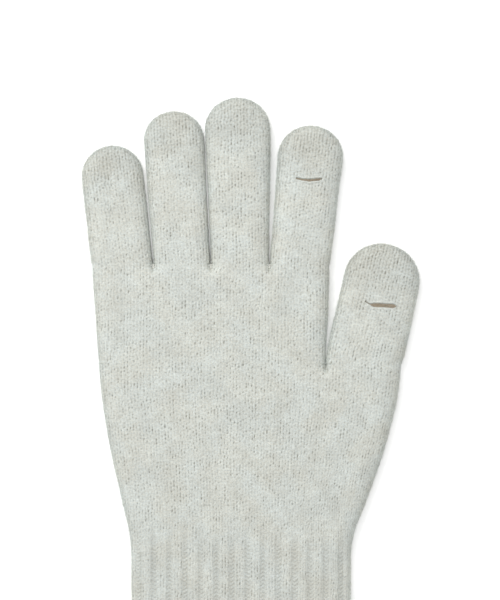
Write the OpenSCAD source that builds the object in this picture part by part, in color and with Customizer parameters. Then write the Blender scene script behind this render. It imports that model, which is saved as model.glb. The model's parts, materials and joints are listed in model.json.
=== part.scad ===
// Knitted touchscreen glove for the right hand, lying flat with the palm up.
// X runs towards the thumb, Y towards the fingertips, and Z up from the back of the hand.
// The origin is on the plane that the glove lies on, under the centre line of the middle
// finger, halfway between the wrist line and the finger crotches.
// Every knitted tube is a flat oval with a real hollow, open towards the wrist.

/* [Fabric] */
// Thickness of the empty glove as it lies flat
thick = 9; // [8:0.5:12]
// Thickness of the rib cuff as it lies flat
cuff_thick = 8.8; // [8:0.2:12]
// Thickness of the knitted wall
wall = 1.7; // [1.2:0.1:2]
// Space between neighbouring fingers
finger_gap = 0.9; // [0.6:0.1:1.5]
// Space between two pieces of a tube at a fold line
joint_gap = 0.3; // [0.2:0.05:0.6]

/* [Hand] */
// Length from the wrist line to the finger crotches
hand_len = 112; // [94:1:135]
// Distance from the finger crotches down to the thumb crotch
thumb_drop = 39.5; // [33:0.5:48]
// Width of the four-finger body where the thumb joins it
palm_w = 91.5; // [82:0.5:100]
// How far the index side of the palm leans in by the thumb crotch
palm_inset = 2.3; // [0:0.1:5]
// Width at the wrist line and of the rib cuff
wrist_w = 89; // [74:0.5:107]
// Sideways offset of the wrist's middle
wrist_shift = 0.5; // [-3:0.1:3]
// How far the sides of the five-finger body bow out, as a share of their slant
side_bow = 0.5; // [0:0.05:0.8]

/* [Little finger] */
// Length from the crotch to the tip
little_len = 48.2; // [40:0.2:58]
// Width at the root
little_root_w = 25.4; // [21:0.1:30]
// Width near the tip
little_tip_w = 25.3; // [21:0.1:30]
// Sideways lean, positive towards the thumb
little_lean = -6.3; // [-9:0.1:-4]
// Crotch to the middle fold line
little_middle_fold = 17.5; // [15:0.5:21]
// Crotch to the tip fold line
little_tip_fold = 29.5; // [25:0.5:33]

/* [Ring finger] */
// Length from the crotch to the tip
ring_len = 62.2; // [52:0.2:75]
// Width at the root
ring_root_w = 23.5; // [20:0.1:28]
// Width near the tip
ring_tip_w = 25; // [21:0.1:28]
// Sideways lean, positive towards the thumb
ring_lean = -3.8; // [-5:0.1:-3]
// Crotch to the middle fold line
ring_middle_fold = 23; // [19:0.5:28]
// Crotch to the tip fold line
ring_tip_fold = 40; // [34:0.5:46]

/* [Middle finger] */
// Length from the crotch to the tip
middle_len = 67.9; // [57:0.2:81]
// Width at the root
middle_root_w = 24; // [20:0.1:29]
// Width near the tip
middle_tip_w = 27; // [22:0.1:28]
// Sideways lean, positive towards the thumb
middle_lean = -1; // [-2:0.1:0]
// Crotch to the middle fold line
middle_middle_fold = 25; // [21:0.5:30]
// Crotch to the tip fold line
middle_tip_fold = 44; // [38:0.5:50]

/* [Index finger] */
// Length from the crotch to the tip
index_len = 56.4; // [52:0.2:67]
// Width at the root
index_root_w = 24.8; // [21:0.1:29]
// Width near the tip
index_tip_w = 27; // [22:0.1:32]
// Sideways lean, positive towards the thumb
index_lean = 6; // [4:0.1:9]
// Crotch to the middle fold line
index_middle_fold = 16; // [13:0.5:19]
// Crotch to the tip fold line
index_tip_fold = 26.5; // [22:0.5:29]

/* [Thumb] */
// Length from the thumb crotch to the tip
thumb_len = 51.7; // [48:0.2:62]
// Width
thumb_w = 30.3; // [26:0.1:34]
// Sideways lean, away from the fingers
thumb_lean = 12.5; // [8:0.1:15]
// Thumb crotch to the root fold line
thumb_root_fold = 6; // [4:0.5:7]
// Thumb crotch to the tip fold line
thumb_tip_fold = 18; // [15:0.5:20]

/* [Finger roots] */
// Length of each finger's root, from the crotch to its fold line
root_len = 6; // [4:0.5:7]
// Depth of the web that closes the hand between two fingers
web_depth = 3; // [2:0.1:5]
// Width of that web
web_w = 3.2; // [2.4:0.1:5]

/* [Touchscreen slits] */
// Width of the index finger's slit
index_slit_w = 10.5; // [8:0.1:12.6]
// Crotch to the middle of the index finger's slit
index_slit_at = 34.3; // [33:0.1:38]
// Width of the thumb's slit
thumb_slit_w = 13.1; // [9:0.1:15]
// Thumb crotch to the middle of the thumb's slit
thumb_slit_at = 26.6; // [25:0.1:30]
// Sideways offset of the thumb's slit from its centre line
thumb_slit_shift = 1.2; // [0:0.1:2]
// How far each slit stands open at rest
slit_gap = 1; // [0.6:0.1:1.4]
// Depth of each lip, from its fold line to its bound edge
lip_len = 2.6; // [2:0.1:3]
// Clearance round a lip in the finger's wall
lip_clear = 0.2; // [0.1:0.05:0.4]

/* [Cuff] */
// Length of the rib, with its edge
cuff_len = 68; // [50:1:84]
// Length of the overlocked edge
edge_len = 2.6; // [2:0.1:4]
// How much thicker than the rib the overlocked edge is, on its inside
edge_extra = 0.5; // [0.3:0.1:1]
// Number of elastic threads laid in the rib
elastic_count = 6; // [3:1:8]
// Width of an elastic thread
elastic_w = 0.9; // [0.6:0.1:1.4]
// Thickness of an elastic thread
elastic_thick = 0.5; // [0.3:0.1:0.7]
// Clearance between an elastic thread and the rib's inside
elastic_clear = 0.05; // [0.05:0.05:0.2]

/* [Hidden] */
$fn = 48;
LITTLE = 0;
RING = 1;
MIDDLE = 2;
INDEX = 3;
FINGER_NAMES = ["little", "ring", "middle", "index"];
WEB_NAMES = ["crotch_web_little_ring", "crotch_web_ring_middle", "crotch_web_middle_index"];

KNIT = [0.82, 0.83, 0.80];
RIB = [0.80, 0.81, 0.78];
BOUND = [0.86, 0.87, 0.83];
ELASTIC = [0.93, 0.93, 0.90];

ARC_STEPS = 8;                    // steps round each side of an oval
TIP_ANGLES = [0, 15, 30, 45, 60, 73, 84];
CUT = 1;                          // how far a cutting tool runs past what it cuts
half_t = thick / 2;
crotch_y = hand_len / 2;
wrist_y = -hand_len / 2;
thumb_crotch_y = crotch_y - thumb_drop;

// One row per finger: length, root width, tip width, lean, middle fold and tip fold.
FINGERS = [
    [little_len, little_root_w, little_tip_w, little_lean, little_middle_fold, little_tip_fold],
    [ring_len, ring_root_w, ring_tip_w, ring_lean, ring_middle_fold, ring_tip_fold],
    [middle_len, middle_root_w, middle_tip_w, middle_lean, middle_middle_fold, middle_tip_fold],
    [index_len, index_root_w, index_tip_w, index_lean, index_middle_fold, index_tip_fold]
];
function len_of(f) = FINGERS[f][0];
function root_w_of(f) = FINGERS[f][1];
function tip_w_of(f) = FINGERS[f][2];
function lean_of(f) = FINGERS[f][3];
function middle_fold_of(f) = FINGERS[f][4];
function tip_fold_of(f) = FINGERS[f][5];

// Left edge of each finger's root. The middle finger's root is centred on X = 0.
function left_edge(f) =
    f == MIDDLE ? -middle_root_w / 2
    : f == INDEX ? middle_root_w / 2
    : left_edge(f + 1) - root_w_of(f);
function root_x(f) = left_edge(f) + root_w_of(f) / 2;
hand_left = left_edge(LITTLE);
hand_right = left_edge(INDEX) + index_root_w;

palm_right = hand_right - palm_inset;
palm_left = palm_right - palm_w;
thumb_left = palm_right + finger_gap;
thumb_right = thumb_left + thumb_w;
// The five-finger body ends level with the low side of the thumb's root.
join_y = thumb_crotch_y - thumb_w * sin(thumb_lean);

// A section of a tube, flat oval in shape: centre x and y, turn about Z, half width,
// half thickness, centre height, and how far the rounded sides reach in.
function section(x, y, turn, hw, ht, z, round) = [x, y, turn, hw, ht, z, round];
function flat_section(x, y, turn, hw, ht) = section(x, y, turn, hw, ht, ht, ht);
// The same section one wall further in.
function inside(s, by) =
    section(s[0], s[1], s[2], s[3] - by, s[4] - by, s[5], s[6] - by);
function section_points(s) = [
    for (side = [0, 1], i = [0:ARC_STEPS])
        let (
            a = -90 + 180 * i / ARC_STEPS + 180 * side,
            flat = (side == 0 ? 1 : -1) * (s[3] - s[6]),
            across = flat + s[6] * cos(a)
        )
        [s[0] + across * cos(s[2]), s[1] + across * sin(s[2]), s[5] + s[4] * sin(a)]
];
ROUND = 2 * (ARC_STEPS + 1);      // points in a section
function skin(rows, start, inward) = [
    for (k = [0:rows - 2], i = [0:ROUND - 1])
        let (
            a = start + k * ROUND + i,
            b = start + k * ROUND + (i + 1) % ROUND
        )
        inward ? [a, a + ROUND, b + ROUND, b] : [a, b, b + ROUND, a + ROUND]
];

// A knitted tube through sections, with the inner sections as its hollow.
// The first sections form its open end. A capped tube is closed at the last ones.
module knit_tube(outer, inner, capped) {
    n_out = len(outer);
    n_in = len(inner);
    base = n_out * ROUND;
    last_out = (n_out - 1) * ROUND;
    last_in = base + (n_in - 1) * ROUND;
    points = concat(
        [for (s = outer) each section_points(s)],
        [for (s = inner) each section_points(s)]
    );
    open_end = [
        for (i = [0:ROUND - 1])
            let (j = (i + 1) % ROUND)
            [i, base + i, base + j, j]
    ];
    far_end = [
        for (i = [0:ROUND - 1])
            let (j = (i + 1) % ROUND)
            [last_out + i, last_out + j, last_in + j, last_in + i]
    ];
    caps = [
        [for (i = [0:ROUND - 1]) last_out + i],
        [for (i = [ROUND - 1:-1:0]) last_in + i]
    ];
    polyhedron(
        points,
        concat(
            skin(n_out, 0, false),
            skin(n_in, base, true),
            open_end,
            capped ? caps : far_end
        ),
        convexity = 6
    );
}

// An open tube whose wall is the same all along it.
module open_tube(sections, wall_t = wall) {
    knit_tube(sections, [for (s = sections) inside(s, wall_t)], false);
}

// Sections of a round fingertip: a disc of radius r with a rounded rim, centred at x, y.
function tip_sections(x, y, turn, lean, r, ht) = [
    for (a = TIP_ANGLES)
        let (
            along = r * sin(a),
            hw = r * cos(a),
            disc = r - ht,
            flat = along < disc ? sqrt(disc * disc - along * along) : 0,
            over = max(0, along - disc),
            t = sqrt(ht * ht - over * over)
        )
        section(x + along * tan(lean) * cos(turn) - along * sin(turn),
            y + along * cos(turn), turn, hw, t, half_t, hw - flat)
];

// Fingers are cut straight across, so that their fold lines are parallel.
function finger_hw(f, d) =
    let (tip_at = len_of(f) - tip_w_of(f) / 2)
    (root_w_of(f) + (tip_w_of(f) - root_w_of(f)) * min(1, d / tip_at) - finger_gap) / 2;
function finger_x(f, d) = root_x(f) + d * tan(lean_of(f));
function finger_section(f, d) =
    flat_section(finger_x(f, d), crotch_y + d, 0, finger_hw(f, d), half_t);

module finger_span(f, from, to) {
    open_tube([finger_section(f, from), finger_section(f, to)]);
}
module finger_root(f) {
    color(KNIT) finger_span(f, 0, root_len - joint_gap / 2);
}
module finger_base(f) {
    color(KNIT)
        finger_span(f, root_len + joint_gap / 2, middle_fold_of(f) - joint_gap / 2);
}
module finger_middle(f) {
    color(KNIT)
        finger_span(f, middle_fold_of(f) + joint_gap / 2, tip_fold_of(f) - joint_gap / 2);
}
module finger_tip(f) {
    r = (tip_w_of(f) - finger_gap) / 2;
    d = len_of(f) - r;
    start = finger_section(f, tip_fold_of(f) + joint_gap / 2);
    x = finger_x(f, d);
    y = crotch_y + d;
    color(KNIT)
        knit_tube(
            concat([start], tip_sections(x, y, 0, lean_of(f), r, half_t)),
            concat([inside(start, wall)],
                tip_sections(x, y, 0, lean_of(f), r - wall, half_t - wall)),
            true
        );
}

// The thumb stands in its own frame, at its crotch and along its lean.
module in_thumb_frame() {
    translate([thumb_left, thumb_crotch_y, 0]) rotate(-thumb_lean) children();
}
thumb_mid = thumb_w / 2;
function thumb_section(d) = flat_section(thumb_mid, d, 0, thumb_mid, half_t);
// The same section in the glove's frame.
function turned_thumb_section(d) =
    let (s = sin(thumb_lean), c = cos(thumb_lean))
    flat_section(thumb_left + thumb_mid * c + d * s,
        thumb_crotch_y - thumb_mid * s + d * c, -thumb_lean, thumb_mid, half_t);
module thumb_root() {
    low = flat_section(thumb_left + thumb_mid, join_y, 0, thumb_mid, half_t);
    color(KNIT) open_tube([low, turned_thumb_section(thumb_root_fold - joint_gap / 2)]);
}
module thumb_base() {
    color(KNIT) in_thumb_frame()
        open_tube([
            thumb_section(thumb_root_fold + joint_gap / 2),
            thumb_section(thumb_tip_fold - joint_gap / 2)
        ]);
}
module thumb_tip_cap() {
    d = thumb_len - thumb_mid;
    start = thumb_section(thumb_tip_fold + joint_gap / 2);
    knit_tube(
        concat([start], tip_sections(thumb_mid, d, 0, 0, thumb_mid, half_t)),
        concat([inside(start, wall)],
            tip_sections(thumb_mid, d, 0, 0, thumb_mid - wall, half_t - wall)),
        true
    );
}

// Touchscreen slits. A lip is a strip of the wall with a rounded, bound edge.
half_window = slit_gap / 2 + lip_len + lip_clear;
module slit_window(width) {
    translate([-width / 2 - lip_clear, -half_window, thick - wall - CUT])
        cube([width + 2 * lip_clear, 2 * half_window, wall + 2 * CUT]);
}
// A lip drawn with its fold line at Y = 0 and its bound edge towards +Y.
module lip(width) {
    color(BOUND)
        translate([-width / 2, 0, thick - wall / 2]) rotate([90, 0, 90])
            linear_extrude(width) {
                translate([0, -wall / 2]) square([lip_len - wall / 2, wall]);
                translate([lip_len - wall / 2, 0]) circle(d = wall);
            }
}
// Places children at the slit's middle, with +Y towards the fingertip.
module at_index_slit() {
    translate([finger_x(INDEX, index_slit_at), crotch_y + index_slit_at, 0])
        rotate(-index_lean) children();
}
module at_thumb_slit() {
    in_thumb_frame() translate([thumb_mid + thumb_slit_shift, thumb_slit_at, 0]) children();
}
module tip_lip(width) {
    translate([0, half_window - lip_clear, 0]) rotate(180) lip(width);
}
module hand_lip(width) {
    translate([0, -half_window + lip_clear, 0]) lip(width);
}
module index_tip() {
    color(KNIT) difference() {
        finger_tip(INDEX);
        at_index_slit() slit_window(index_slit_w);
    }
}
module thumb_tip() {
    color(KNIT) difference() {
        in_thumb_frame() thumb_tip_cap();
        at_thumb_slit() slit_window(thumb_slit_w);
    }
}

// Hand. The five-finger body's sides bow out from the wrist to the thumb's root.
function bow(t) = t * (1 + side_bow - side_bow * t);
function mid_section(left, right, y) =
    flat_section((left + right) / 2, y, 0, (right - left) / 2, half_t);
wrist_left = wrist_shift - wrist_w / 2;
wrist_right = wrist_shift + wrist_w / 2;
BODY_STEPS = [0, 0.15, 0.32, 0.6, 1];
module five_finger_body() {
    color(KNIT)
        open_tube([
            for (t = BODY_STEPS)
                mid_section(
                    wrist_left + (palm_left - wrist_left) * bow(t),
                    wrist_right + (thumb_right - wrist_right) * bow(t),
                    wrist_y + joint_gap / 2 + (join_y - wrist_y - joint_gap / 2) * t
                )
        ]);
}
module four_finger_body() {
    color(KNIT)
        open_tube([
            mid_section(palm_left, palm_right, join_y),
            mid_section(hand_left, hand_right, crotch_y)
        ]);
}
// A web stands between the palm side and the back, just below a crotch.
module web(x, y) {
    color(KNIT)
        translate([x - web_w / 2, y - web_depth, wall])
            cube([web_w, web_depth, thick - 2 * wall]);
}
module crotch_web(i) {
    web(left_edge(i + 1), crotch_y);
}
module crotch_web_thumb() {
    web((palm_right + thumb_left) / 2, join_y);
}

// Cuff, from the wrist line down to its overlocked edge.
cuff_half_t = cuff_thick / 2;
cuff_end = wrist_y - cuff_len;
function cuff_section(y, by = 0) =
    inside(flat_section(wrist_shift, y, 0, wrist_w / 2, cuff_half_t), by);
module rib_cuff() {
    color(RIB)
        open_tube([cuff_section(cuff_end + edge_len), cuff_section(wrist_y - joint_gap / 2)]);
}
module cuff_edge() {
    color(BOUND)
        open_tube([cuff_section(cuff_end), cuff_section(cuff_end + edge_len)],
            wall + edge_extra);
}
module cuff_elastic() {
    rib_len = cuff_len - edge_len;
    step = rib_len / (elastic_count + 1);
    by = wall + elastic_clear;
    color(ELASTIC)
        for (i = [1:elastic_count]) {
            y = cuff_end + edge_len + i * step;
            open_tube([cuff_section(y - elastic_w / 2, by), cuff_section(y + elastic_w / 2, by)],
                elastic_thick);
        }
}

four_finger_body();
five_finger_body();
for (f = [LITTLE:INDEX]) {
    finger_root(f);
    finger_base(f);
    finger_middle(f);
}
for (f = [LITTLE, RING, MIDDLE])
    finger_tip(f);
for (i = [0:len(WEB_NAMES) - 1])
    crotch_web(i);
crotch_web_thumb();
index_tip();
at_index_slit() tip_lip(index_slit_w);  // index_slit_tip_lip
at_index_slit() hand_lip(index_slit_w);  // index_slit_hand_lip
thumb_root();
thumb_base();
thumb_tip();
at_thumb_slit() tip_lip(thumb_slit_w);  // thumb_slit_tip_lip
at_thumb_slit() hand_lip(thumb_slit_w);  // thumb_slit_hand_lip
rib_cuff();
cuff_edge();
cuff_elastic();
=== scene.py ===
import json
import math

import bpy
import numpy as np
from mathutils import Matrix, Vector


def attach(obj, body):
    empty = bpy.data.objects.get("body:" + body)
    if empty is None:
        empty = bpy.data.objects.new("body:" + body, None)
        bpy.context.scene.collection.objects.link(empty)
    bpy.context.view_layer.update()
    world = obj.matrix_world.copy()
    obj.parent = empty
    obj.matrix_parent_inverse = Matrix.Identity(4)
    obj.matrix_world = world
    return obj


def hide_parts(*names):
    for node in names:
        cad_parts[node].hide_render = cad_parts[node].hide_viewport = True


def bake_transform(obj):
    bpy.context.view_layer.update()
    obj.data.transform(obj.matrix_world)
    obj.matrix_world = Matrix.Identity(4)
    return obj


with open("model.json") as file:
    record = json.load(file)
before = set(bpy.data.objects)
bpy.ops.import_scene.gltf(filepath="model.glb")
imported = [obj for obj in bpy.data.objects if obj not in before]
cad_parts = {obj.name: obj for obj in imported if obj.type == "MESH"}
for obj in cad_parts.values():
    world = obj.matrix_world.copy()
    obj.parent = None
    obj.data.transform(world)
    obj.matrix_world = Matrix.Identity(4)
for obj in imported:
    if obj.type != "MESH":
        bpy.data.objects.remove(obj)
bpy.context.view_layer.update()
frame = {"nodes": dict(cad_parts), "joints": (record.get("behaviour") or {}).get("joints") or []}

# The looks of a knitted touchscreen glove. Each knitted tube of the CAD model is made here
# as a closed skin with real stitches, and split so that each piece crosses one fold.
# Sizes below are in millimetres, and meshes are written in metres.

MM = 0.001
SEED = 11

# Knit: one wale is a column of stitches and one course is a row of stitches.
WALE = 2.62               # width of a wale
COURSE = 1.6              # height of a course
ACROSS = 6                # mesh columns in a wale
ALONG = 4                 # mesh rows in a course
ROW = COURSE / ALONG
CUFF_ROW = COURSE / 3     # the long cuff has fewer rows in a course
STITCH_HEIGHT = 0.42      # how far a stitch stands above the hollow beside it
WALL = 1.5                # thickness of the knitted wall
INSIDE_EVERY = 12         # the inside has one mesh row for this many outside
SECTION_SAMPLES = 181
TIP_SHADE = 0.37          # how much darker the round tips are
TIP_REACH = 34.0

# Loose fibres that stand out where the fabric turns over at its sides
FUZZ_DENSITY = 14.0       # fibres on a square millimetre
GAP_DENSITY = 60.0        # and as many more between two fingers, where they take the painted shade and close the gap
FUZZ_SIDE = 0.8           # only where the fabric faces up or down by less than this
FUZZ_LENGTH = 1.25
FUZZ_SHORTEST = 0.3       # share of that length
FUZZ_REACH = 0.42         # or at most this share of the way to the next finger
FUZZ_WIDTH = 0.09
FUZZ_SPREAD = 0.6         # how much their ways differ
STITCH_REACH = 0.2        # room left for the next finger's stitches
SHADE_GAP = 1.1           # fabric nearer than this to another finger gets painted shade
DEEPEST_SHADE = 0.1       # what is left of a stitch's light share there
FAR = 50.0                # further than any fibre or shade reaches

# Rib of the cuff
RIB = 6.36                # width of one rib and its valley
RIB_DEPTH = 0.42
RIB_SHADE = 0.16          # painted shade in the valleys between ribs
RIB_START = 9.0           # the rib begins this far above the wrist line
RIB_FULL = -9.0           # and is fully formed this far above it

# Shapes of the tubes
FINGER_ROLL = 0.62        # how far the sides of a finger roll over, as a share of its radius
THUMB_ROLL = 0.55
HAND_ROLL = 8.0
THUMB_OVERLAP = 5.1       # the thumb leaves the hand this far above its root's lowest point
WRIST_PIECE = 13.0        # the piece that bends at the wrist starts this far above it

# Folds of the fingers
FOLD_REACH = 5.0          # reach of a fold on each side, if there is room
THUMB_TIP_REACH = 6.0
SLIT_CLEAR = 0.8          # kept clear between a fold and a slit

# Slits and their lips, where a share is of the slit's width
OPENS_OVER = 0.16         # share over which a slit opens
CLOSES_OVER = 0.1         # and closes
LIP_ROWS = 15
LIP_CROWDING = 1.25       # rows of a lip crowd towards its bound edge
WELT_AT = 0.45            # the bound ridge stands this far from the edge
WELT_WIDTH = 0.4
WELT_HEIGHT = 0.5
WELT_FADE = 0.6           # wales over which the ridge fades at the corners
EDGE_ROUND = 0.6

# Yarns laid in or sewn
ELASTIC_RADIUS = 0.4
ELASTIC_CLEAR = 0.5       # between the inside of the cuff and the middle of the elastic
STITCH_RADIUS = 0.6
CROTCH_STITCHES = 3
CROTCH_CLEAR = 0.7
CROTCH_REACH = 2.3        # half the height of a crotch stitch
CROTCH_BOW = 0.5

X_AXIS = (1.0, 0.0)
Y_AXIS = (0.0, 1.0)


# ---------------------------------------------------------------- measures of the frame

def span(node, axis):
    """Lowest and highest reach of a CAD node along a direction in the XY plane."""
    points = np.array([v.co[:2] for v in frame["nodes"][node].data.vertices]) / MM
    along = points @ np.array(axis)
    return along.min(), along.max()


def outline_of(node):
    """Left and right edges of a CAD node, as quadratics in Y."""
    points = np.array([v.co[:2] for v in frame["nodes"][node].data.vertices]) / MM
    levels = np.unique(np.round(points[:, 1], 3))
    rows = [points[np.abs(points[:, 1] - y) < 0.01, 0] for y in levels]
    degree = min(2, len(levels) - 1)
    left = np.polyfit(levels, [r.min() for r in rows], degree)
    right = np.polyfit(levels, [r.max() for r in rows], degree)
    return np.poly1d(left), np.poly1d(right)


joints = {j["name"]: j for j in frame["joints"]}


def joint_at(name):
    return np.array(joints[name]["pos_m"]) / MM


crotch_y, _ = span("little_root", Y_AXIS)
wrist_y = joint_at("wrist_fold")[1]
cuff_end, rib_end = span("cuff_edge", Y_AXIS)
thick = joint_at("wrist_fold")[2]
MIDDLE_Z = thick / 2 + 0.05
HALF_THICK = thick / 2 - STITCH_HEIGHT
body_left, body_right = outline_of("five_finger_body")
_, hand_right = outline_of("four_finger_body")
cuff_left, cuff_right = span("rib_cuff", X_AXIS)
thumb_root_end, _ = span("thumb_root", Y_AXIS)
MERGE_Y = thumb_root_end + THUMB_OVERLAP


# ---------------------------------------------------------------- small maths

def smooth(x):
    """0 below 0, 1 above 1, and a smooth step between."""
    x = np.clip(x, 0.0, 1.0)
    return x * x * (3 - 2 * x)


def lattice(seed, size=64):
    return np.random.default_rng(SEED + seed).random((size, size))


def noise(x, y, cell, seed):
    """Smooth noise from 0 to 1, one random value every cell."""
    table = lattice(seed)
    size = len(table)
    gx, gy = np.asarray(x) / cell, np.asarray(y) / cell
    ix, iy = np.floor(gx).astype(int), np.floor(gy).astype(int)
    fx, fy = smooth(gx - ix), smooth(gy - iy)

    def value(i, j):
        return table[(ix + i) % size, (iy + j) % size]

    low = value(0, 0) * (1 - fx) + value(1, 0) * fx
    high = value(0, 1) * (1 - fx) + value(1, 1) * fx
    return low * (1 - fy) + high * fy


def per_stitch(u, v, seed):
    """One random value from 0 to 1 for each stitch."""
    table = lattice(seed)
    size = len(table)
    return table[np.floor(u).astype(int) % size, np.floor(v).astype(int) % size]


# ---------------------------------------------------------------- stitches

def plain_stitch(u, v):
    """Height from 0 to 1 of plain knit at wale u and course v: two slanting legs a stitch."""
    side = np.abs(u - np.floor(u) - 0.5) * 2
    leg = np.sin(math.pi * np.clip(side, 0, 1)) ** 0.65
    between = 0.5 + 0.5 * np.cos(2 * math.pi * (v - 0.5 * side))
    depth = 0.5 + 0.8 * per_stitch(2 * u, v - 0.3, 1)
    hollow = (1 - leg) * (0.5 + 0.5 * between) * depth
    return np.clip(1 - hollow - 0.14 * leg * between, 0, 1)


def purl_stitch(u, v):
    """Height from 0 to 1 of the back of the knit, where short bars lie across."""
    side = np.abs(u - np.floor(u) - 0.5) * 2
    bar = 0.5 - 0.5 * np.cos(2 * math.pi * (v + 0.25 * np.cos(math.pi * side)))
    return 0.45 + 0.55 * bar * (0.6 + 0.4 * np.cos(math.pi * side / 2))


def rib_wave(x):
    """1 on a rib and 0 in the valley beside it, for a place across the cuff."""
    wave = 0.5 + 0.5 * np.cos(2 * math.pi * x / RIB)
    return smooth(wave * 1.5)


def knit_height(u, v, x, y):
    """Height in mm of the fabric over its base, and its share of a stitch's height, from which the
    yarn material paints shade.
    """
    wander = 0.16 * (noise(x, y, 9.0, 2) - 0.5) + 0.3 * (noise(x, y, 2.1, 5) - 0.5)
    uneven = 0.2 * (noise(x, y, 14.0, 3) - 0.5) + 0.7 * (noise(x, y, 2.3, 6) - 0.5)
    share = plain_stitch(u + wander, v + uneven)
    ribbed = smooth((wrist_y + RIB_START - y) / (RIB_START - RIB_FULL))
    on_rib = rib_wave(x)
    share = share + (purl_stitch(u, v) - share) * ribbed * (1 - on_rib)
    soft = 0.35 * (noise(x, y, 17.0, 4) - 0.5)
    height = STITCH_HEIGHT * share + soft - RIB_DEPTH * ribbed * (1 - on_rib)
    # The rib's valleys get painted shade as well as their depth.
    return height, share * (1 - RIB_SHADE * ribbed * (1 - on_rib))


def overlock_height(u, v, x, y):
    """Height of an overlocked edge: yarn wrapped round it on a slant. Its share paints shade between
    the wraps.
    """
    wrap = 0.5 + 0.5 * np.cos(2 * math.pi * (1.6 * u + 0.8 * v))
    return 0.5 * wrap, wrap


# ---------------------------------------------------------------- shapes of the tubes

def rolled(inside, roll, half):
    """Half thickness at a distance inside the edge of a tube whose side rolls over."""
    share = 1 - np.clip(inside, 0, roll) / roll
    return half * np.sqrt(np.clip(1 - share * share, 0, 1))


class Finger:
    """A tube with a round end. Places on it are (t across, s along), from its root."""

    def __init__(self, name, root, lean, length, root_half, tip_radius, roll, shift=0.0):
        self.name = name
        self.root = np.array(root)
        self.lean = lean
        self.length = length
        self.root_half = root_half
        self.tip_radius = tip_radius
        self.roll = roll
        self.shift = shift
        self.direction = np.array([math.sin(lean), math.cos(lean)])
        self.tip_at = length - tip_radius
        self.first_x = root[0] + shift
        self.first_y = root[1]

    def centre(self, s):
        away = self.shift * (1 - smooth(s / 12.0))
        return self.root + s * self.direction + np.array([away, 0.0])

    def turn(self, s):
        return -self.lean * float(smooth(s / 9.0))

    def half_width(self, s, inset):
        if s <= self.tip_at:
            share = s / self.tip_at
            return self.root_half + (self.tip_radius - self.root_half) * share - inset
        reach = self.tip_radius - inset
        return math.sqrt(max(0.0, reach * reach - (s - self.tip_at) ** 2))

    def edges(self, s, inset):
        half = self.half_width(s, inset)
        return -half, half

    def rise(self, t, s, inset):
        past = max(0.0, s - self.tip_at)
        width = self.half_width(min(s, self.tip_at), inset)
        inside = width - np.hypot(t, past)
        return rolled(inside, self.roll - inset / 2, HALF_THICK - inset)

    def shape(self, t, s, rise):
        return rise

    def arc_at(self, column, s):
        return column * WALE / ACROSS - self.first_x

    def light_share(self, s):
        """Darker towards the round tip: there the painted shade between stitches deepens."""
        return 1 - TIP_SHADE * float(smooth((s - self.length + TIP_REACH) / TIP_REACH))

    def courses(self, s):
        return (self.first_y + s) / COURSE


def outside_by(tube, points):
    """How far points lie outside a finger's outline."""
    away = points - tube.root - np.array([tube.shift, 0.0])
    s = away @ tube.direction
    t = away @ np.array([tube.direction[1], -tube.direction[0]])
    share = np.clip(s / tube.tip_at, 0, 1)
    half = tube.root_half + (tube.tip_radius - tube.root_half) * share
    past = np.maximum(0.0, s - tube.tip_at)
    before = np.maximum(0.0, -s)
    aside = np.hypot(t, past) - half
    return np.where(before > 0, np.hypot(np.maximum(0.0, aside), before), aside)


def union_rise(x, ovals, inset):
    """Half thickness of ovals that stand side by side, each with its edges and roll."""
    heights = [rolled(np.minimum(x - a, b - x) - inset, roll - inset / 2, HALF_THICK - inset)
               for a, b, roll in ovals]
    return np.max(heights, axis=0)


class Body:
    """A wide tube along Y, with t as X and s as Y. Its top may part into narrower tubes."""

    def __init__(self, left, right, roll, half=HALF_THICK, parts=(), part_y=0.0, part_fade=5.0,
                 lean_in=0.0):
        self.left = left
        self.right = right
        self.roll = roll
        self.half = half
        self.parts = parts
        self.part_y = part_y
        self.part_fade = part_fade
        self.lean_in = lean_in

    def centre(self, s):
        return np.array([0.0, s])

    def turn(self, s):
        return 0.0

    def edges(self, s, inset):
        return self.left(s) + inset, self.right(s) - inset

    def rise(self, t, s, inset):
        low, high = self.edges(s, inset)
        return rolled(np.minimum(t - low, high - t), self.roll - inset / 2, self.half - inset)

    def shape(self, t, s, rise):
        if not self.parts:
            return rise
        share = smooth((s - self.part_y + self.part_fade) / self.part_fade) ** 1.5
        inset = max(0.0, self.half - rise.max())
        apart = union_rise(t, self.parts, inset)
        return rise + (np.minimum(apart, rise) - rise) * share

    def arc_at(self, column, s):
        """Wales draw together towards the wrist, the more so on the thumb side."""
        u = column / ACROSS
        narrow = self.lean_in * smooth((MERGE_Y - s) / (MERGE_Y - wrist_y))
        beyond = np.clip(u - 5.0, 0.0, 15.0)
        drawn = 0.23 * u + 0.5 * (beyond * beyond / 30.0 + np.clip(u - 20.0, 0.0, None))
        return WALE * u - narrow * drawn

    def courses(self, s):
        return s / COURSE

    def light_share(self, s):
        return 1.0


# ---------------------------------------------------------------- skins

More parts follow.
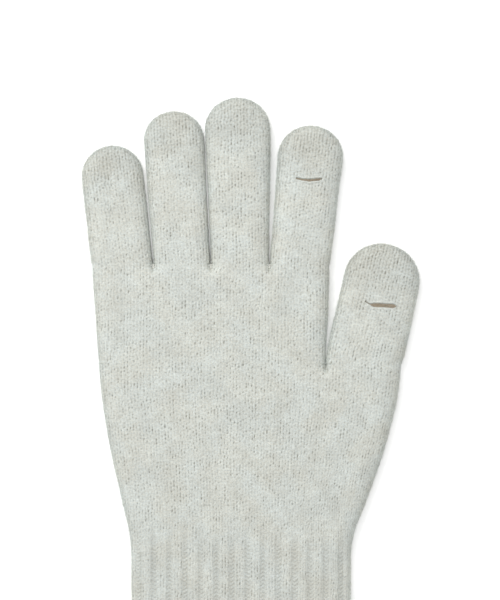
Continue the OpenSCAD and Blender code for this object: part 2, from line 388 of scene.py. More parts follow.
class Skin:
    """The front of a tube as a grid of rows and columns, with its edges and its back."""

    def __init__(self, tube, rows, columns, inset, height):
        self.rows = rows
        self.columns = columns
        self.left_column = np.zeros(len(rows), int)
        self.right_column = np.zeros(len(rows), int)
        self.front = np.zeros((len(rows), len(columns), 3))
        self.back = np.zeros_like(self.front)
        self.fabric = np.zeros_like(self.front)
        for j, s in enumerate(rows):
            self.lay_row(tube, j, s, inset, height)

    def lay_row(self, tube, j, s, inset, height):
        low, high = tube.edges(s, inset)
        share = (1 - np.cos(np.linspace(0, math.pi, SECTION_SAMPLES))) / 2
        t = low + (high - low) * share
        rise = tube.rise(t, s, inset)
        arc = np.concatenate([[0.0], np.cumsum(np.hypot(np.diff(t), np.diff(rise)))])
        arc -= np.interp(0.0, t, arc)
        wanted = tube.arc_at(self.columns, s)
        inner = np.flatnonzero((wanted > arc[0] + 1e-6) & (wanted < arc[-1] - 1e-6))
        if len(inner):
            self.left_column[j] = inner[0] - 1
            self.right_column[j] = inner[-1] + 1
        else:
            middle = int(np.argmin(np.abs(wanted)))
            self.left_column[j] = middle
            self.right_column[j] = middle
        at = np.clip(wanted, arc[0], arc[-1])
        tt = np.interp(at, arc, t)
        up = tube.shape(tt, s, np.interp(at, arc, rise))
        edge_on = 1e-9 + np.abs(arc[-1] - arc[0]) * 1e-6
        out = np.interp(at, arc, -np.gradient(rise, arc + edge_on * np.arange(len(arc))))
        out = np.clip(out, -1, 1)
        out[at <= arc[0]] = -1
        out[at >= arc[-1]] = 1
        lift = np.sqrt(1 - out * out)
        cx, cy = tube.centre(s)
        turn = tube.turn(s)
        x = cx + tt * math.cos(turn)
        y = cy + tt * math.sin(turn)
        u = wanted_wales(tube, self.columns, at, wanted)
        v = np.full_like(u, tube.courses(s))
        stand, share_up = height(u, v, x, y)
        reach_x = out * stand
        for grid, sign in ((self.front, 1), (self.back, -1)):
            grid[j, :, 0] = x + reach_x * math.cos(turn)
            grid[j, :, 1] = y + reach_x * math.sin(turn)
            grid[j, :, 2] = MIDDLE_Z + sign * (up + lift * stand)
        # The third fabric value is the light share, from which the yarn material paints shade.
        self.fabric[j] = np.stack([u, v, share_up * tube.light_share(s)], axis=1)


def wanted_wales(tube, columns, at, wanted):
    """Wale at each column, with columns past the tube's edge brought back to it."""
    return np.interp(at, wanted, columns / ACROSS)


def flat_height(u, v, x, y):
    """The inside of the fabric, which shows only short bars, with painted shade from their share."""
    return np.zeros_like(u), purl_stitch(u, v)


class MeshParts:
    """Points, their fabric coordinates and triangles, gathered for one mesh."""

    def __init__(self):
        self.points = []
        self.fabric = []
        self.triangles = []
        self.slots = []
        self.count = 0

    def add_points(self, points, fabric):
        start = self.count
        self.points.append(points.reshape(-1, 3))
        self.fabric.append(fabric.reshape(-1, 3))
        self.count += len(self.points[-1])
        return start

    def add_triangles(self, triangles, slot):
        a, b, c = triangles.T
        real = (a != b) & (b != c) & (c != a)
        self.triangles.append(triangles[real])
        self.slots.append(np.full(int(real.sum()), slot))

    def add_grid(self, ids, slot, flip, keep=None):
        a, b = ids[:-1, :-1], ids[:-1, 1:]
        d, c = ids[1:, :-1], ids[1:, 1:]
        if keep is None:
            keep = np.ones(a.shape, bool)
        a, b, c, d = a[keep], b[keep], c[keep], d[keep]
        both = np.concatenate([np.stack([a, b, c], 1), np.stack([a, c, d], 1)])
        self.add_triangles(both[:, ::-1] if flip else both, slot)

    def add_wall(self, inner, outer, flip):
        """A cut edge of the fabric. It has its own points, so that its corners look sharp."""
        ids = np.stack([inner, outer])
        points = np.concatenate(self.points)[ids]
        fabric = np.concatenate(self.fabric)[ids]
        start = self.add_points(points, fabric)
        self.add_grid(start + np.arange(ids.size).reshape(ids.shape), 0, flip)

    def to_object(self, name, materials):
        points = np.concatenate(self.points)
        fabric = np.concatenate(self.fabric)
        triangles = np.concatenate(self.triangles)
        slots = np.concatenate(self.slots)
        used, renamed = np.unique(triangles, return_inverse=True)
        triangles = renamed.reshape(-1, 3)
        mesh = bpy.data.meshes.new(name)
        mesh.vertices.add(len(used))
        mesh.vertices.foreach_set("co", (points[used] * MM).astype(np.float32).ravel())
        mesh.loops.add(len(triangles) * 3)
        mesh.loops.foreach_set("vertex_index", triangles.astype(np.int32).ravel())
        mesh.polygons.add(len(triangles))
        starts = np.arange(0, len(triangles) * 3, 3, dtype=np.int32)
        mesh.polygons.foreach_set("loop_start", starts)
        mesh.polygons.foreach_set("material_index", slots.astype(np.int32))
        mesh.polygons.foreach_set("use_smooth", np.ones(len(triangles), bool))
        mesh.update(calc_edges=True)
        stored = mesh.attributes.new("fabric", "FLOAT_VECTOR", "POINT")
        stored.data.foreach_set("vector", fabric[used].astype(np.float32).ravel())
        for material in materials:
            mesh.materials.append(material)
        obj = bpy.data.objects.new(name, mesh)
        bpy.context.scene.collection.objects.link(obj)
        return obj


def skin_ids(skin, start_front, start_back):
    """Point numbers of a skin's front and back grids. Both share the points at the edges."""
    rows, columns = skin.front.shape[:2]
    wanted = np.arange(columns)[None, :]
    left, right = skin.left_column[:, None], skin.right_column[:, None]
    column = np.clip(wanted, left, right)
    place = np.arange(rows)[:, None] * columns + column
    at_edge = (column == left) | (column == right)
    return start_front + place, np.where(at_edge, start_front + place, start_back + place)


def free_space(skin, neighbours):
    """How far each point of a skin lies from the nearest other finger."""
    space = np.full(skin.front.shape[:2], FAR)
    for tube in neighbours:
        space = np.minimum(space, outside_by(tube, skin.front[:, :, :2]))
    return np.maximum(0.0, space - STITCH_REACH)


def add_fuzz(parts, skin, space, light):
    """Short loose fibres along both faces of a skin, each one thin triangle."""
    random = np.random.default_rng(SEED + skin.front.size)
    column = np.arange(skin.front.shape[1])[None, :]
    real = (column > skin.left_column[:, None]) & (column < skin.right_column[:, None])
    longest = np.minimum(FUZZ_LENGTH, FUZZ_REACH * space)
    for grid, sign in ((skin.front, 1.0), (skin.back, -1.0)):
        facing = sign * np.cross(np.gradient(grid, axis=1), np.gradient(grid, axis=0))
        area = np.linalg.norm(facing, axis=2)
        facing = facing / np.maximum(area, 1e-9)[:, :, None]
        wanted = real & (np.abs(facing[:, :, 2]) < FUZZ_SIDE)
        density = FUZZ_DENSITY + GAP_DENSITY * (light[wanted] < 1)
        here = random.poisson(area[wanted] * density)
        count = int(here.sum())
        roots = np.repeat(grid[wanted], here, axis=0)
        ways = np.repeat(facing[wanted], here, axis=0)
        ways += random.normal(0, FUZZ_SPREAD, (count, 3))
        ways /= np.linalg.norm(ways, axis=1)[:, None]
        side = np.cross(ways, random.normal(0, 1, (count, 3)))
        side *= FUZZ_WIDTH / 2 / np.linalg.norm(side, axis=1)[:, None]
        length = np.repeat(longest[wanted], here) * random.uniform(FUZZ_SHORTEST, 1, count)
        points = np.stack([roots - side, roots + side, roots + ways * length[:, None]], axis=1)
        fabric = np.repeat(skin.fabric[wanted], here, axis=0)
        # Fibres take the painted shade between fingers, and elsewhere the lightest end of the stitch
        # shade.
        fabric[:, 2] = np.repeat(light[wanted], here)
        start = parts.add_points(points, np.repeat(fabric, 3, axis=0))
        parts.add_triangles(start + np.arange(3 * count).reshape(count, 3), 0)


def in_window(rows, columns, window):
    """Which cells of a grid lie in a window: rows s0 to s1, columns c0 to c1."""
    s0, s1, c0, c1 = window
    middle = (rows[:-1] + rows[1:]) / 2
    across = (columns[:-1] + columns[1:]) / 2
    return ((middle > s0) & (middle < s1))[:, None] & ((across > c0) & (across < c1))[None, :]


def knit_tube(name, tube, rows, materials, height=knit_height, closed=False, window=None,
              neighbours=(), wall=WALL):
    """A closed skin along rows: outside with stitches, plain inside, and joined ends.
    A closed tube ends in a tip. A window is a hole through the front. Loose fibres keep
    clear of the neighbours."""
    reach = max(abs(tube.edges(s, 0.0)[0]) for s in rows[::8])
    reach = max(reach, max(abs(tube.edges(s, 0.0)[1]) for s in rows[::8])) + 12
    offset = tube.first_x if isinstance(tube, Finger) else 0.0
    low = math.floor((offset - reach) * ACROSS / WALE)
    high = math.ceil((offset + reach) * ACROSS / WALE * 1.25)
    columns = np.arange(low, high + 1)
    inside_rows = list(rows[::INSIDE_EVERY])
    if closed:
        end = tube.length - wall
        last = [end - 3.0, end - 1.5, end - 0.6, end - 0.15, end]
        inside_rows = [s for s in inside_rows if s < end - 4.0] + last
    else:
        inside_rows.append(rows[-1])
    if window:
        inside_rows += [s for s in rows if window[0] <= s <= window[1]]
    inside_rows = np.unique(inside_rows)
    outer = Skin(tube, rows, columns, 0.0, height)
    inner = Skin(tube, inside_rows, columns, wall, flat_height)
    space = free_space(outer, neighbours)
    light = np.ones_like(space)
    # Painted shade: fabric close to another finger is darkened, and the fibres there too.
    if isinstance(tube, Finger):
        light = np.clip(space / SHADE_GAP, DEEPEST_SHADE, 1.0)
        outer.fabric[:, :, 2] *= light
    parts = MeshParts()
    ids = []
    for skin in (outer, inner):
        front = parts.add_points(skin.front, skin.fabric)
        back = parts.add_points(skin.back, skin.fabric)
        ids.append(skin_ids(skin, front, back))
    (out_front, out_back), (in_front, in_back) = ids
    keep_out = keep_in = None
    if window:
        keep_out = ~in_window(rows, columns, window)
        keep_in = ~in_window(inside_rows, columns, window)
    parts.add_grid(out_front, 0, False, keep_out)
    parts.add_grid(out_back, 0, True)
    parts.add_grid(in_front, 1, True, keep_in)
    parts.add_grid(in_back, 1, False)
    ends = [(0, 0, False)] if closed else [(0, 0, False), (-1, -1, True)]
    for out_row, in_row, flip in ends:
        parts.add_wall(in_front[in_row], out_front[out_row], not flip)
        parts.add_wall(in_back[in_row], out_back[out_row], flip)
    if window:
        add_window_walls(parts, rows, inside_rows, columns, window, out_front, in_front)
    add_fuzz(parts, outer, space, light)
    return parts.to_object(name, materials)


def add_window_walls(parts, rows, inside_rows, columns, window, outside, inside):
    """Closes the cut edge of the wall round a window."""
    s0, s1, c0, c1 = window
    picked = np.flatnonzero((columns >= c0) & (columns <= c1))
    for s, flip in ((s0, True), (s1, False)):
        out_row = int(np.argmin(np.abs(rows - s)))
        in_row = int(np.argmin(np.abs(inside_rows - s)))
        parts.add_wall(inside[in_row, picked], outside[out_row, picked], not flip)
    out_rows = np.flatnonzero((rows > s0 - 1e-6) & (rows < s1 + 1e-6))
    in_rows = np.flatnonzero((inside_rows > s0 - 1e-6) & (inside_rows < s1 + 1e-6))
    for column, flip in ((c0, False), (c1, True)):
        k = int(np.flatnonzero(columns == column)[0])
        parts.add_wall(inside[in_rows, k], outside[out_rows, k], not flip)


def stretch(start, end, through=(), row=ROW):
    """Places from start to end about one mesh row apart, through the given ones."""
    stops = sorted({start, end, *[s for s in through if start < s < end]})
    rows = [np.linspace(a, b, max(2, round((b - a) / row) + 1))[:-1]
            for a, b in zip(stops[:-1], stops[1:])]
    return np.concatenate(rows + [[end]])


def tip_stretch(start, tube, through=()):
    """Rows up to a round tip, closer together where it ends."""
    rows = stretch(start, tube.length - ROW, through)
    return np.concatenate([rows, tube.length - ROW * np.array([0.6, 0.3, 0.12, 0.03, 0.0])])


# ---------------------------------------------------------------- materials

class Nodes:
    """A material's nodes, added and joined in short calls."""

    def __init__(self, name):
        self.material = bpy.data.materials.new(name)
        self.material.use_nodes = True
        self.tree = self.material.node_tree
        self.shader = self.tree.nodes["Principled BSDF"]

    def add(self, kind, values=(), **settings):
        node = self.tree.nodes.new(kind)
        for key, value in settings.items():
            setattr(node, key, value)
        for socket, value in dict(values).items():
            if isinstance(value, bpy.types.NodeSocket):
                self.tree.links.new(value, node.inputs[socket])
            else:
                node.inputs[socket].default_value = value
        return node

    def math(self, operation, *values):
        return self.add("ShaderNodeMath", dict(enumerate(values)), operation=operation).outputs[0]

    def noise(self, vector, scale, detail=2.0, rough=0.5):
        return self.add("ShaderNodeTexNoise", {
            "Vector": vector, "Scale": scale, "Detail": detail, "Roughness": rough,
        }).outputs["Fac"]

    def ramp(self, value, *stops):
        node = self.add("ShaderNodeValToRGB", {"Fac": value})
        points = node.color_ramp.elements
        while len(points) < len(stops):
            points.new(0.5)
        for point, (at, colour) in zip(points, stops):
            point.position = at
            point.color = (*colour, 1.0)
        return node.outputs["Color"]

    def mix(self, factor, a, b, blend="MIX"):
        node = self.add("ShaderNodeMix", data_type="RGBA", blend_type=blend)
        for socket, value in ((0, factor), (6, a), (7, b)):
            if isinstance(value, bpy.types.NodeSocket):
                self.tree.links.new(value, node.inputs[socket])
            elif socket == 0:
                node.inputs[socket].default_value = value
            else:
                node.inputs[socket].default_value = (*value, 1.0)
        return node.outputs[2]


def grey(value):
    return (value, value, value)


def yarn_material(name, tint, hollow=0.34, blotch=0.5, inside=False):
    """Soft melange yarn: pale and grey fibres, with painted shade between stitches and a fine nap.
    The hollow is how bright the painted shade between stitches is, and blotch how strong the
    patches."""
    nodes = Nodes(name)
    fabric = nodes.add("ShaderNodeAttribute", attribute_name="fabric")
    place = nodes.add("ShaderNodeSeparateXYZ", {0: fabric.outputs["Vector"]}).outputs
    flat = nodes.add("ShaderNodeCombineXYZ", {
        "X": nodes.math("MULTIPLY", place[0], WALE),
        "Y": nodes.math("MULTIPLY", place[1], COURSE),
    }).outputs[0]
    blotches = nodes.noise(flat, 0.085, 3.0, 0.6)
    melange = nodes.noise(flat, 0.55, 3.0, 0.7)
    fibres = nodes.noise(flat, 1.7, 3.0, 0.75)
    pale = tuple(1.07 * c for c in tint)
    deep = tuple(c * (0.80 - 0.03 * i) for i, c in enumerate(tint))
    body = nodes.mix(nodes.ramp(blotches, (0.35, grey(0.0)), (0.68, grey(blotch))), pale, deep)
    body = nodes.mix(nodes.ramp(melange, (0.40, grey(0.0)), (0.70, grey(0.55))), body, deep)
    patches = nodes.ramp(nodes.noise(flat, 0.06, 2.0, 0.5), (0.42, WARM), (0.58, COOL))
    strands = nodes.ramp(nodes.noise(flat, 1.6, 1.0, 0.5), (0.40, WARM), (0.60, COOL))
    body = nodes.mix(PATCH_SHARE, body, nodes.mix(1.0, body, patches, "MULTIPLY"))
    body = nodes.mix(STRAND_SHARE, body, nodes.mix(1.0, body, strands, "MULTIPLY"))
    fleck = nodes.ramp(fibres, (0.32, grey(0.70)), (0.52, grey(1.0)), (0.70, grey(1.19)))
    body = nodes.mix(0.8, body, nodes.mix(1.0, body, fleck, "MULTIPLY"))
    # Painted shade and light from the light share: hollows between stitches darker and warmer,
    # crests a little lighter.
    shade = nodes.ramp(place[2], (0.0, (hollow * 1.06, hollow * 0.98, hollow * 0.86)),
                       (0.6, grey(0.93)), (1.0, grey(1.07)))
    colour = nodes.mix(1.0, body, shade, "MULTIPLY")
    shader = nodes.shader
    nodes.tree.links.new(colour, shader.inputs["Base Color"])
    shader.inputs["Roughness"].default_value = 0.92
    shader.inputs["Specular IOR Level"].default_value = 0.15
    shader.inputs["Sheen Roughness"].default_value = 0.35
    shader.inputs["Sheen Tint"].default_value = (0.90, 0.96, 1.0, 1.0)
    if inside:
        shader.inputs["Sheen Weight"].default_value = 0.1
        # Painted light: a glow in place of what comes in through the loose knit.
        nodes.tree.links.new(colour, shader.inputs["Emission Color"])
        shader.inputs["Emission Strength"].default_value = INSIDE_GLOW
    else:
        # The nap catches light, but its sheen fades out in the deepest painted shade, as between two
        # fingers.
        sheen = nodes.ramp(place[2], (0.0, grey(0.0)), (0.25, grey(0.9)))
        nodes.tree.links.new(sheen, shader.inputs["Sheen Weight"])
    nap = nodes.math("ADD", nodes.math("MULTIPLY", fibres, 0.6), nodes.noise(flat, 9.0, 2.0, 0.7))
    bump = nodes.add("ShaderNodeBump", {"Strength": 0.5, "Distance": 0.00025, "Height": nap})
    nodes.tree.links.new(bump.outputs[0], shader.inputs["Normal"])
    return nodes.material


IVORY = (0.650, 0.676, 0.639)
WARM = (1.06, 1.0, 0.90)
COOL = (0.92, 1.0, 1.06)
PATCH_SHARE = 0.14        # how strongly patches of the yarn are warmer or cooler
STRAND_SHARE = 0.25       # and its single strands
# Painted light: how strongly the inside fabric glows.
INSIDE_GLOW = 0.36
knit = yarn_material("ivory_knit", IVORY)
# The inside is browner and darker than the outside: partly the back of the knit, partly painted
# shade of the closed tube's inside.
inside_knit = yarn_material("inside_knit", (0.53, 0.48, 0.405), hollow=0.5, inside=True)
rib_knit = yarn_material("rib_knit", IVORY)
bound_yarn = yarn_material("bound_yarn", (0.74, 0.75, 0.70), hollow=0.8, blotch=0.3)
KNIT = [knit, inside_knit]


# ---------------------------------------------------------------- fingers

def finger_from_frame(name):
    """A finger's tube, worked out from its folds and from the reach of its CAD nodes."""
    low_fold = joint_at(f"{name}_root_fold")
    high_fold = joint_at(f"{name}_tip_fold")
    lean = math.atan2(high_fold[0] - low_fold[0], high_fold[1] - low_fold[1])
    slope = math.tan(abs(lean))
    root = (low_fold[0] - (low_fold[1] - crotch_y) * math.tan(lean), crotch_y)
    root_low, root_high = span(f"{name}_root", X_AXIS)
    _, root_top = span(f"{name}_root", Y_AXIS)
    tip_low, tip_high = span(f"{name}_tip", X_AXIS)
    tip_start, tip_top = span(f"{name}_tip", Y_AXIS)
    root_half = (root_high - root_low - (root_top - crotch_y) * slope) / 2
    radius = (tip_high - tip_low - (tip_top - tip_start) * slope) / (2 - slope)
    length = (tip_top - radius - crotch_y) / math.cos(lean) + radius
    return Finger(name, root, lean, length, root_half, radius, FINGER_ROLL * radius)


def thumb_from_frame():
    """The thumb's tube, which leans as its root's fold line does."""
    fold = joint_at("thumb_root_fold")
    axis = joints["thumb_root_fold"]["axis"]
    lean = math.atan2(-axis[1], axis[0])
    direction = (math.sin(lean), math.cos(lean))
    reach = span("thumb_tip", direction)[1]
    low, high = span("thumb_base", (axis[0], axis[1]))
    half = (high - low) / 2
    to_merge = (fold[1] - MERGE_Y) / math.cos(lean)
    root = fold[:2] - to_merge * np.array(direction)
    length = reach - root @ np.array(direction)
    root_half = 0.99 * half / math.cos(lean)
    return Finger("thumb", root, lean, length, root_half, half, THUMB_ROLL * half)


FINGERS = {name: finger_from_frame(name) for name in ("little", "ring", "middle", "index")}
thumb = thumb_from_frame()


def along(tube, point):
    """How far a point lies along a tube from its root."""
    return float((np.array(point[:2]) - tube.root) @ tube.direction)


def blend_at(piece):
    """Bakes a piece's transform into its mesh."""
    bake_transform(piece)


class Slit:
    """A slit across the front of a tip: its middle, width and the reach of its lips."""

    def __init__(self, tube, name, gap, open_from, line):
        tip_fold = joint_at(f"{name}_tip_lip_fold")
        hand_fold = joint_at(f"{name}_hand_lip_fold")
        axis = joints[f"{name}_tip_lip_fold"]["axis"]
        low, high = span(f"{name}_slit_tip_lip", (-axis[0], -axis[1]))
        middle = (tip_fold + hand_fold)[:2] / 2
        self.name = name
        self.tube = tube
        self.half_window = float(np.linalg.norm((tip_fold - hand_fold)[:2])) / 2
        self.at = along(tube, middle)
        self.width = high - low
        across = np.array([math.cos(tube.lean), -math.sin(tube.lean)])
        self.offset = float((middle - tube.root - self.at * tube.direction) @ across)
        self.gap = gap
        self.open_from = open_from
        self.line = line
        first = tube.first_x + self.offset
        self.column_0 = round((first - self.width / 2) * ACROSS / WALE)
        self.column_1 = round((first + self.width / 2) * ACROSS / WALE)

    def window(self):
        return (self.at - self.half_window, self.at + self.half_window,
                self.column_0, self.column_1)

    def room_after(self, fold):
        """How far the fabric may bend past a fold before it comes to the slit."""
        return self.at - self.half_window - along(self.tube, fold) - SLIT_CLEAR

    def edge(self, columns, side):
        """Place along the tube of the bound edge on the tip side (1) or hand side (-1)."""
        share = (columns - self.column_0) / (self.column_1 - self.column_0)
        opening = smooth((share - self.open_from) / OPENS_OVER)
        opened = opening * smooth((1 - share) / CLOSES_OVER)
        line = self.at + np.interp(share, *self.line)
        uneven = 0.35 * (noise(columns, side * 7.0 + self.at, 3.0, 7) - 0.5)
        return line + side * (0.1 + (0.5 * self.gap + uneven) * opened)


def lip_surface(slit, side):
    """Top, underside and fabric of a lip, in rows from its fold line to its bound edge."""
    tube = slit.tube
    columns = np.arange(slit.column_0, slit.column_1 + 1)
    t = columns * WALE / ACROSS - tube.first_x
    edge = slit.edge(columns, side)
    corner = np.minimum(columns - columns[0], columns[-1] - columns) / ACROSS
    within = smooth(corner / WELT_FADE)
    fold = slit.at + side * slit.half_window
    shares = 1 - (1 - np.linspace(0.0, 1.0, LIP_ROWS)) ** LIP_CROWDING
    top = np.zeros((len(shares), len(columns), 3))
    bottom = np.zeros_like(top)
    fabric = np.zeros_like(top)
    turn = tube.turn(slit.at)
    for j, share in enumerate(shares):
        s = fold + (edge - fold) * share
        to_edge = np.abs(edge - s)
        places = np.array([tube.centre(value) for value in s])
        x = places[:, 0] + t * math.cos(turn)
        y = places[:, 1] + t * math.sin(turn)
        rise = np.array([float(tube.rise(a, b, 0.0)) for a, b in zip(t, s)])
        u = columns / ACROSS
        v = (tube.first_y + s) / COURSE
        stand, share_up = knit_height(u, v, x, y)
        welt = np.exp(-((to_edge - WELT_AT) / WELT_WIDTH) ** 2) * within
        wraps = 0.08 * np.cos(2 * math.pi * u * 2.5)
        stand = stand * (1 - welt) + welt * (WELT_HEIGHT + wraps)
        bound = np.sqrt(np.clip(1 - (1 - np.clip(to_edge / EDGE_ROUND, 0, 1)) ** 2, 0, 1))
        centre = MIDDLE_Z + rise - WALL / 2
        top[j] = np.stack([x, y, centre + (WALL / 2 + stand) * bound], axis=1)
        bottom[j] = np.stack([x, y, centre - WALL / 2 * bound], axis=1)
        light_share = np.array([tube.light_share(value) for value in s])
        # The bound ridge gets the full light share, so no painted shade.
        fabric[j] = np.stack([u, v, (share_up * (1 - welt) + welt) * light_share], axis=1)
    return top, bottom, fabric


def lip(slit, side):
    """One lip of a slit: a strip of the front, from its fold line to its bound edge."""
    top, bottom, fabric = lip_surface(slit, side)
    places = np.arange(top.size // 3).reshape(top.shape[:2])
    parts = MeshParts()
    top_ids = parts.add_points(top, fabric) + places
    low_ids = parts.add_points(bottom, fabric) + places
    low_ids[-1] = top_ids[-1]
    flip = side > 0
    parts.add_grid(top_ids, 0, flip)
    parts.add_grid(low_ids, 1, not flip)
    parts.add_wall(low_ids[0], top_ids[0], flip)
    for k, turned in ((0, not flip), (-1, flip)):
        parts.add_wall(low_ids[:, k], top_ids[:, k], turned)
    end_name = "tip" if side > 0 else "hand"
    node = f"{slit.name}_slit_{end_name}_lip"
    piece = parts.to_object(f"{node}_knit", KNIT)
    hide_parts(node)
    turn = slit.tube.turn(slit.at)
    fold_centre = slit.tube.centre(slit.at + side * slit.half_window)
    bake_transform(piece)


def halfway(name, first, second, tube):
    """Half the way along a tube between two of its joints, where its pieces meet."""
    return (along(tube, joint_at(f"{name}_{first}")) + along(tube, joint_at(f"{name}_{second}"))) / 2


def all_but(tube):
    """Every finger but this one, with the thumb."""
    return [other for other in (*FINGERS.values(), thumb) if other is not tube]


def make_finger(name, slit=None):
    """The low, mid and high pieces of a finger. A slit needs its window in the high one."""
    tube = FINGERS[name]
    others = all_but(tube)
    root, middle, tip = (joint_at(f"{name}_{part}_fold") for part in ("root", "middle", "tip"))
    first_split = halfway(name, "root_fold", "middle_fold", tube)
    second_split = halfway(name, "middle_fold", "tip_fold", tube)
    low = knit_tube(f"{name}_low_knit", tube, stretch(0.0, first_split), KNIT,
                    neighbours=others)
    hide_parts(f"{name}_root", f"{name}_base")
    blend_at(low)
    mid = knit_tube(f"{name}_mid_knit", tube, stretch(first_split, second_split), KNIT,
                    neighbours=others)
    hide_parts(f"{name}_middle")
    blend_at(mid)
    window = slit.window() if slit else None
    through = window[:2] if slit else ()
    rows = tip_stretch(second_split, tube, through)
    high = knit_tube(f"{name}_high_knit", tube, rows, KNIT, closed=True, window=window,
                     neighbours=others)
    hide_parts(f"{name}_tip")
    after = slit.room_after(tip) if slit else FOLD_REACH
    blend_at(high)


def make_thumb(slit):
    """The low and high pieces of the thumb."""
    root, tip = joint_at("thumb_root_fold"), joint_at("thumb_tip_fold")
    split = halfway("thumb", "root_fold", "tip_fold", thumb)
    others = all_but(thumb)
    low = knit_tube("thumb_low_knit", thumb, stretch(0.0, split), KNIT, neighbours=others)
    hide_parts("thumb_root", "thumb_base")
    blend_at(low)
    rows = tip_stretch(split, thumb, slit.window()[:2])
    high = knit_tube("thumb_high_knit", thumb, rows, KNIT, closed=True, window=slit.window(),
                     neighbours=others)
    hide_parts("thumb_tip")
    after = min(THUMB_TIP_REACH, slit.room_after(tip))
    blend_at(high)


# The line of each slit: shares of its width, and how far up the finger it is there.
index_slit = Slit(FINGERS["index"], "index", gap=0.6, open_from=-0.05,
                  line=((0.0, 0.25, 0.5, 0.75, 1.0), (-0.1, -0.5, -0.55, -0.1, 0.7)))
thumb_slit = Slit(thumb, "thumb", gap=1.35, open_from=0.16,
                  line=((0.0, 0.14, 0.22, 0.4, 1.0), (0.25, -0.45, -0.65, -0.4, 0.95)))
for name in FINGERS:
    make_finger(name, index_slit if name == "index" else None)
make_thumb(thumb_slit)
for slit in (index_slit, thumb_slit):
    lip(slit, 1)
    lip(slit, -1)


# ---------------------------------------------------------------- hand and cuff

def oval_of(tube):
    """Left edge, right edge and roll of a tube where it leaves the hand."""
    half = tube.half_width(0.0, 0.0)
    return tube.first_x - half, tube.first_x + half, tube.roll


little_left = oval_of(FINGERS["little"])[0]
index_right = oval_of(FINGERS["index"])[1]
thumb_right = oval_of(thumb)[1]


def upper_left(y):
    return np.interp(y, [MERGE_Y, crotch_y], [lower_left(MERGE_Y), little_left])


def upper_right(y):
    return np.interp(y, [MERGE_Y, crotch_y], [hand_right(MERGE_Y), index_right])


def eased(edge, cuff_x, y):
    """An edge of the body that runs into the cuff's edge without a corner."""
    reach = 8.0 * float(smooth((MERGE_Y - y) / 25.0))
    near = y + reach * np.linspace(-1, 1, 17)
    return float(np.mean(np.where(near > wrist_y, edge(near), cuff_x)))


def lower_left(y):
    return eased(body_left, cuff_left, y)


def lower_right(y):
    to_thumb = thumb_right - body_right(MERGE_Y)
    return eased(body_right, cuff_right, y) + to_thumb * float(smooth(y / MERGE_Y))


SPLIT_Y = wrist_y + WRIST_PIECE

finger_ovals = [oval_of(tube) for tube in FINGERS.values()]
upper = Body(upper_left, upper_right, HAND_ROLL, parts=finger_ovals, part_y=crotch_y,
             part_fade=6.0)
merge_ovals = [(lower_left(MERGE_Y), float(hand_right(MERGE_Y)), HAND_ROLL), oval_of(thumb)]
lower = Body(lower_left, lower_right, HAND_ROLL, parts=merge_ovals, part_y=MERGE_Y,
             part_fade=7.0, lean_in=1.0)
wrist = Body(lower_left, lower_right, HAND_ROLL, lean_in=1.0)

palm_upper = knit_tube("four_finger_body_knit", upper, stretch(MERGE_Y, crotch_y), KNIT,
                       neighbours=all_but(None))
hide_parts("four_finger_body")
palm_lower = knit_tube("five_finger_body_knit", lower, stretch(SPLIT_Y, MERGE_Y), KNIT,
                       neighbours=all_but(None))
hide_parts("five_finger_body")
cuff = knit_tube("rib_cuff_knit", wrist, stretch(rib_end, SPLIT_Y, row=CUFF_ROW),
                 [rib_knit, inside_knit])
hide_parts("rib_cuff")
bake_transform(cuff)
edge = knit_tube("cuff_edge_overlock", wrist, stretch(cuff_end + 0.6, rib_end),
                 [bound_yarn, inside_knit], height=overlock_height)
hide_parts("cuff_edge")
for piece, body, slot in ((palm_upper, "hand", "knit"), (palm_lower, "hand", "knit"),
                          (edge, "cuff", "edge")):
    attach(piece, body)


# ---------------------------------------------------------------- yarn inside

def yarn_loop(parts, points, radius, closed, sides=8):
    """A round yarn along points, closed into a ring or with capped ends."""
    points = np.array(points, float)
    if closed:
        ways = np.roll(points, -1, 0) - np.roll(points, 1, 0)
    else:
        ways = np.gradient(points, axis=0)
    ways /= np.linalg.norm(ways, axis=1)[:, None]
    side = np.cross(ways, np.array([0.0, 1.0, 0.01]))
    side /= np.linalg.norm(side, axis=1)[:, None]
    other = np.cross(ways, side)
    angles = np.linspace(0, 2 * math.pi, sides, endpoint=False)
    rings = points[:, None] + radius * (np.cos(angles)[None, :, None] * side[:, None]
                                        + np.sin(angles)[None, :, None] * other[:, None])
    # The twist's share paints shade along the yarn.
    twist = 0.5 + 0.5 * np.cos(angles[None, :] * 2 + np.arange(len(points))[:, None] * 0.9)
    length = np.arange(len(points))[:, None] * np.ones(sides) * 0.3
    fabric = np.stack([angles[None, :] + 0 * length, length, 0.55 + 0.45 * twist], axis=2)
    start = parts.add_points(rings, fabric)
    ids = start + np.arange(len(points) * sides).reshape(-1, sides)
    ids = np.concatenate([ids, ids[:, :1]], axis=1)
    if closed:
        ids = np.concatenate([ids, ids[:1]])
    parts.add_grid(ids, 0, False)
    if not closed:
        for row, flip in ((0, True), (-1, False)):
            centre = parts.add_points(points[row][None], fabric[row][:1])
            fan = np.stack([np.full(sides, centre), ids[row, :-1], ids[row, 1:]], axis=1)
            parts.add_triangles(fan[:, ::-1] if not flip else fan, 0)


def cuff_loop(y, inset):
    """A ring just inside the cuff at Y."""
    low, high = wrist.edges(y, inset)
    share = (1 - np.cos(np.linspace(0, math.pi, 61))) / 2
    x = low + (high - low) * share
    rise = wrist.rise(x, y, inset)
    front = np.stack([x, np.full_like(x, y), MIDDLE_Z + rise], axis=1)
    back = np.stack([x[1:-1], np.full(len(x) - 2, y), MIDDLE_Z - rise[1:-1]], axis=1)
    return np.concatenate([front, back[::-1]])


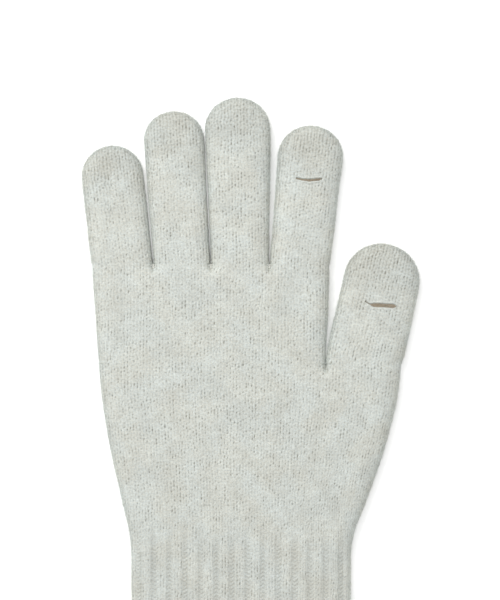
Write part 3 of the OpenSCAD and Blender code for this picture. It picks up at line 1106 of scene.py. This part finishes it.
elastic_levels = sorted({round(float(v.co[1] / MM), 2)
                         for v in frame["nodes"]["cuff_elastic"].data.vertices})
elastic_parts = MeshParts()
for low_y, high_y in zip(elastic_levels[::2], elastic_levels[1::2]):
    yarn_loop(elastic_parts, cuff_loop((low_y + high_y) / 2, WALL + ELASTIC_CLEAR),
              ELASTIC_RADIUS, True)
elastic = elastic_parts.to_object("cuff_elastic_thread", [bound_yarn])
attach(elastic, "cuff")
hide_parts("cuff_elastic")


def crotch_stitches(node):
    """The few stitches that close a crotch, between the palm side and the back."""
    low_x, high_x = span(node, X_AXIS)
    low_y, high_y = span(node, Y_AXIS)
    middle = (low_x + high_x) / 2
    parts = MeshParts()
    levels = np.linspace(-1, 1, 13)
    places = np.linspace(low_y + CROTCH_CLEAR, high_y - CROTCH_CLEAR, CROTCH_STITCHES)
    for i, y in enumerate(places):
        bow = CROTCH_BOW * (1 - levels ** 2) * (1 if i % 2 else -1)
        points = np.stack([middle + bow, np.full_like(levels, y),
                           MIDDLE_Z + CROTCH_REACH * levels], axis=1)
        yarn_loop(parts, points, STITCH_RADIUS, False)
    piece = parts.to_object(f"{node}_stitches", [bound_yarn])
    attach(piece, "hand")
    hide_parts(node)


for web in ("little_ring", "ring_middle", "middle_index", "thumb"):
    crotch_stitches(f"crotch_web_{web}")


# ---------------------------------------------------------------- floor, light and camera

def pale_floor():
    mesh = bpy.data.meshes.new("floor")
    far = 3.0
    mesh.from_pydata([(-far, -far, 0), (far, -far, 0), (far, far, 0), (-far, far, 0)], [],
                     [(0, 1, 2, 3)])
    floor = bpy.data.objects.new("floor", mesh)
    floor.location.z = -0.0003
    bpy.context.scene.collection.objects.link(floor)
    nodes = Nodes("pale_floor")
    nodes.shader.inputs["Base Color"].default_value = (0.93, 0.93, 0.93, 1.0)
    nodes.shader.inputs["Roughness"].default_value = 0.9
    nodes.shader.inputs["Emission Color"].default_value = (1.0, 1.0, 1.0, 1.0)
    nodes.shader.inputs["Emission Strength"].default_value = 0.35
    mesh.materials.append(nodes.material)


def area_light(name, place, target, size, power):
    data = bpy.data.lights.new(name, "AREA")
    data.size = size
    data.energy = power
    light = bpy.data.objects.new(name, data)
    light.location = place
    way = np.array(target) - np.array(place)
    light.rotation_euler = Vector(way).to_track_quat("-Z", "Y").to_euler()
    bpy.context.scene.collection.objects.link(light)


def sky(strength):
    world = bpy.data.worlds.new("studio")
    world.use_nodes = True
    background = world.node_tree.nodes["Background"]
    background.inputs["Color"].default_value = (1.0, 1.0, 1.0, 1.0)
    background.inputs["Strength"].default_value = strength
    bpy.context.scene.world = world


def camera_above():
    """A long lens straight above, framing the fingers, palm and top of the cuff."""
    view_height = 246.0
    centre = (4.1, 41.0)
    lens = 120.0
    sensor = 36.0
    distance = view_height / 2 * lens / (sensor / 2)
    data = bpy.data.cameras.new("camera")
    data.lens = lens
    data.sensor_width = sensor
    data.clip_start = 0.05
    data.clip_end = 20.0
    camera = bpy.data.objects.new("camera", data)
    camera.location = (centre[0] * MM, centre[1] * MM, (distance + thick / 2) * MM)
    bpy.context.scene.collection.objects.link(camera)
    bpy.context.scene.camera = camera


pale_floor()
sky(0.62)
area_light("key", (-0.5, 0.7, 1.1), (0.0, 0.0, 0.0), 0.9, 14.0)
camera_above()
bpy.context.scene.view_settings.view_transform = "Standard"
